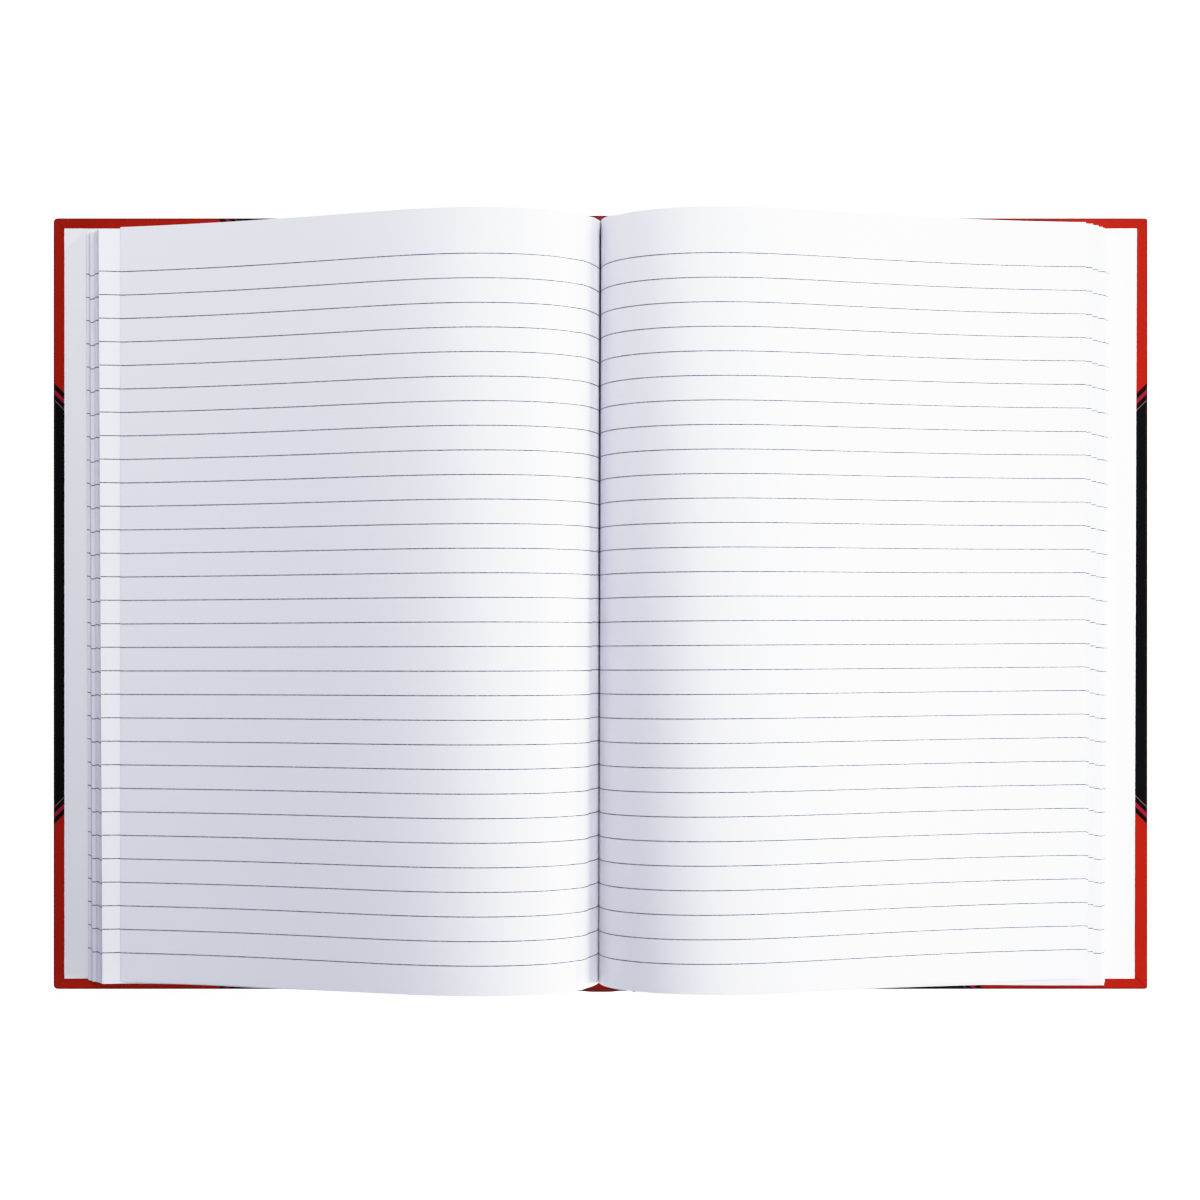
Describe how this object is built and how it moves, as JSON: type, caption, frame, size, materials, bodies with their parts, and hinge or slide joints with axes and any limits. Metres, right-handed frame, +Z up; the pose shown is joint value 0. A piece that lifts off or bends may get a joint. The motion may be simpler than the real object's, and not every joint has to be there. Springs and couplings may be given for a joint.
{
  "type": "open casebound notebook",
  "caption": "Casebound ruled notebook lying open at its middle, with arched leaves over two hinged cover boards, for writing in.",
  "frame": {"origin": "bottom centre of the open book, under the gutter at the middle of the spine, on the surface that it lies on", "axes": "+X across the open book towards the back cover's fore-edge, +Y along the spine towards the head, +Z up from the surface"},
  "size_m": [0.3774, 0.266, 0.0301],
  "materials": {
    "leaves": "uncoated writing paper, feint ruled",
    "endpaper": "uncoated endpaper",
    "cover_paper": "grained and varnished covering paper, red at spine and corners, black elsewhere",
    "board": "bare grey board",
    "lining_cloth": "open starched cotton"
  },
  "bodies": {
    "book": {"text_block": "leaves", "front_flyleaf": "endpaper", "back_flyleaf": "endpaper", "spine_lining": "lining_cloth", "spine_strip": "board", "spine_cover_paper": "cover_paper"},
    "front_cover": {"front_board": "board", "front_cover_paper": "cover_paper", "front_hinge_cloth": "lining_cloth", "front_pastedown": "endpaper"},
    "back_cover": {"back_board": "board", "back_cover_paper": "cover_paper", "back_hinge_cloth": "lining_cloth", "back_pastedown": "endpaper"}
  },
  "joints": [
    {"name": "front_cover_hinge", "type": "hinge", "parent": "book", "child": "front_cover", "pos_m": [-0.0085, 0, 0], "axis": [0, -1, 0], "range_deg": [0, 90]},
    {"name": "back_cover_hinge", "type": "hinge", "parent": "book", "child": "back_cover", "pos_m": [0.0085, 0, 0], "axis": [0, 1, 0], "range_deg": [0, 90]}
  ]
}
